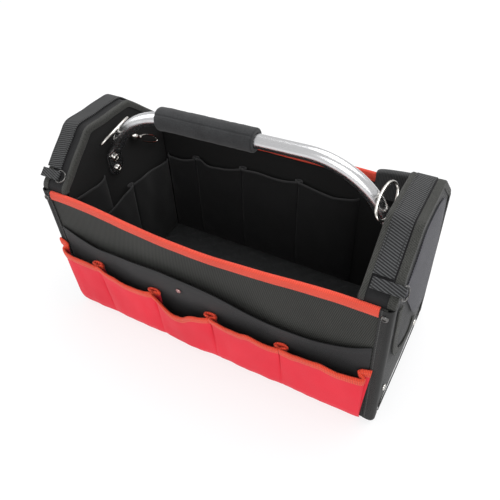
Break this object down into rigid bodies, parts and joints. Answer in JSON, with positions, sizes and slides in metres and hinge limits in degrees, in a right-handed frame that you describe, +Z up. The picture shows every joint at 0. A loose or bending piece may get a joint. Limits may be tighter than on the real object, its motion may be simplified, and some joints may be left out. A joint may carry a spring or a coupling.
{
  "type": "open top tool tote",
  "caption": "Open top fabric tool tote with stiff hex-topped ends, a bolted tube handle with a foam grip, red front pockets and bound rims",
  "frame": {"origin": "under the middle of the base, on the floor", "axes": "X along the bag, left end at -X; the front with the red pockets faces -Y; +Z up"},
  "size_m": [0.5254, 0.2736, 0.3272],
  "materials": {
    "black_cloth": "black woven cloth",
    "lining_cloth": "black lining cloth",
    "board_cloth": "charcoal cloth over the floor board",
    "ridge_cloth": "dark grey cloth",
    "ribbed_cloth": "ribbed grey cloth",
    "webbing": "ribbed dark grey webbing",
    "binding": "olive grey twill binding",
    "black_binding": "black binding tape",
    "red_cloth": "crimson cloth",
    "red_tape": "coral red ribbed tape",
    "chrome": "bright plated",
    "tube_steel": "bright plated tube",
    "foam": "matte foam"
  },
  "bodies": {
    "root": {"front_wall": "black_cloth", "back_wall": "black_cloth", "rim_tape_front": "red_tape", "rim_tape_back": "red_tape", "base_panel": "black_cloth", "floor_board": "board_cloth", "slash_pocket": "black_cloth", "tool_pocket_row": "red_cloth", "tool_pocket_tape": "red_tape", "back_pocket_row": "lining_cloth", "snap_button": "chrome", "inner_end_panel_left": "lining_cloth", "outer_end_panel_left": "black_cloth", "ridge_strip_left": "ridge_cloth", "inner_piping_left": "binding", "outer_binding_left": "binding", "corner_binding_left_front": "black_binding", "corner_binding_left_back": "black_binding", "webbing_strap_left": "webbing", "ring_tab_left": "webbing", "strap_ring_left": "chrome", "end_pocket_row_left": "lining_cloth", "end_tall_pocket_left": "lining_cloth", "corner_wrap_left": "ribbed_cloth", "end_patch_left": "ribbed_cloth", "base_binding_left": "black_binding", "end_holder_left": "binding", "end_rivet_left_low": "chrome", "end_rivet_left_high": "chrome", "tape_rivet_left": "chrome", "handle_bolt_left_1": "chrome", "handle_bolt_left_2": "chrome", "handle_ring_left": "chrome", "hook_left": "chrome", "inner_end_panel_right": "lining_cloth", "outer_end_panel_right": "black_cloth", "ridge_strip_right": "ridge_cloth", "inner_piping_right": "binding", "outer_binding_right": "binding", "corner_binding_right_front": "black_binding", "corner_binding_right_back": "black_binding", "webbing_strap_right": "webbing", "ring_tab_right": "webbing", "strap_ring_right": "chrome", "end_pocket_row_right": "lining_cloth", "end_tall_pocket_right": "lining_cloth", "corner_wrap_right": "ribbed_cloth", "end_patch_right": "ribbed_cloth", "base_binding_right": "black_binding", "end_holder_right": "binding", "end_rivet_right_low": "chrome", "end_rivet_right_high": "chrome", "tape_rivet_right": "chrome", "handle_bolt_right_1": "chrome", "handle_bolt_right_2": "chrome", "handle_ring_right": "chrome", "hook_right": "chrome", "handle_tube": "tube_steel", "handle_grip": "foam"}
  },
  "joints": []
}
